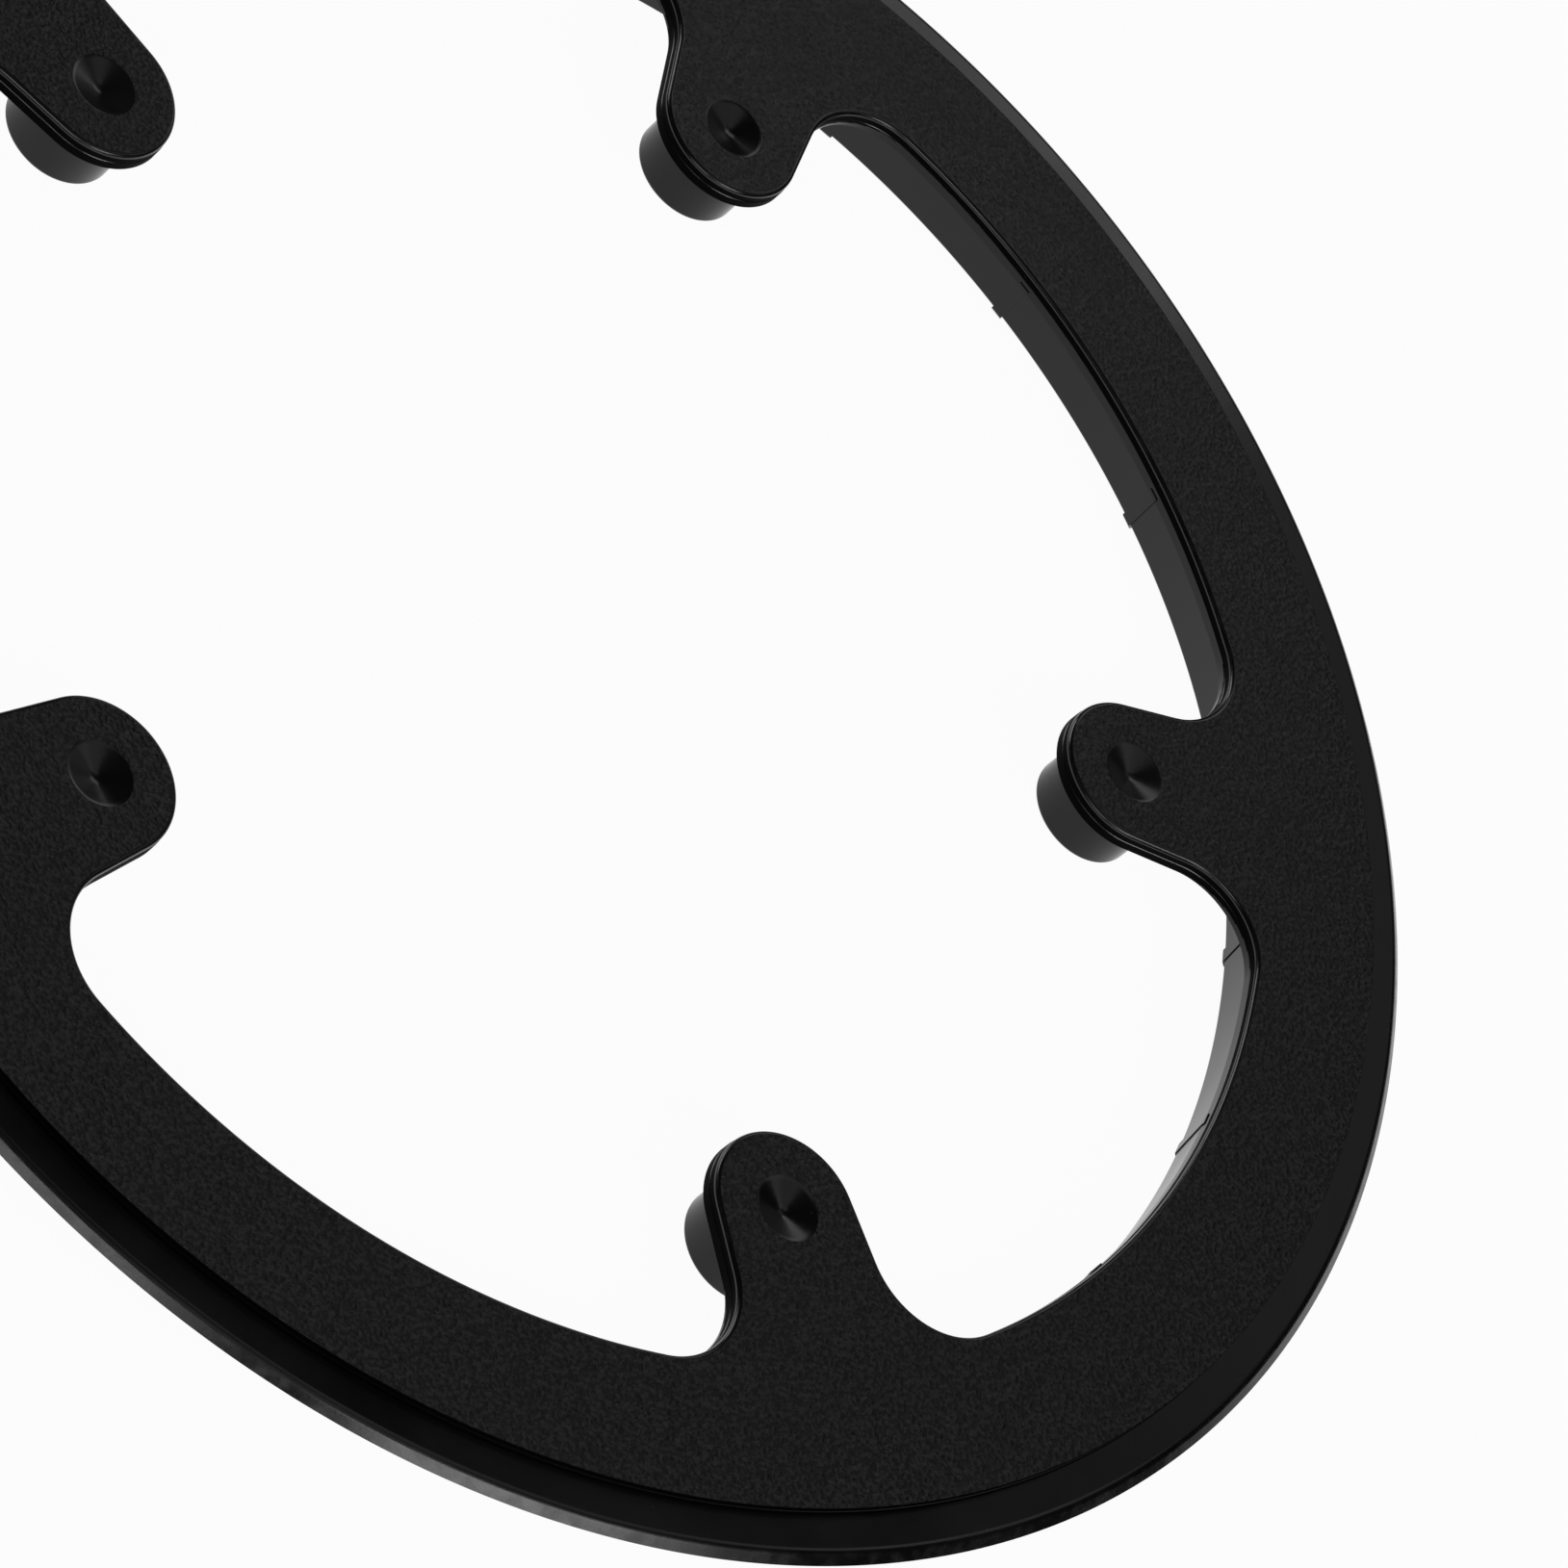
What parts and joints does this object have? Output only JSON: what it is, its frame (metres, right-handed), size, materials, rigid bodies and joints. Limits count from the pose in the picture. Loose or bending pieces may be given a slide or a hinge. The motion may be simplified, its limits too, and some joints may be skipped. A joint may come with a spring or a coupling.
{
  "type": "bicycle chain guard",
  "caption": "Flat black plastic ring with a stepped convex rim, an inner wall and inward tabs with rear pegs, made to stand beside a chainring and fix to the crank's bolt circle.",
  "frame": {"origin": "on the ring axis, in the plane of the peg ends that the guard rests on", "axes": "+Z along the ring axis towards the flat front face, +X through the middle of one tab"},
  "size_m": [0.168, 0.168, 0.0074],
  "materials": {
    "black_plastic": "fine matte grain on the face, smooth on the rim, wall and pegs"
  },
  "bodies": {
    "root": {"chain_guard": "black_plastic"}
  },
  "joints": []
}
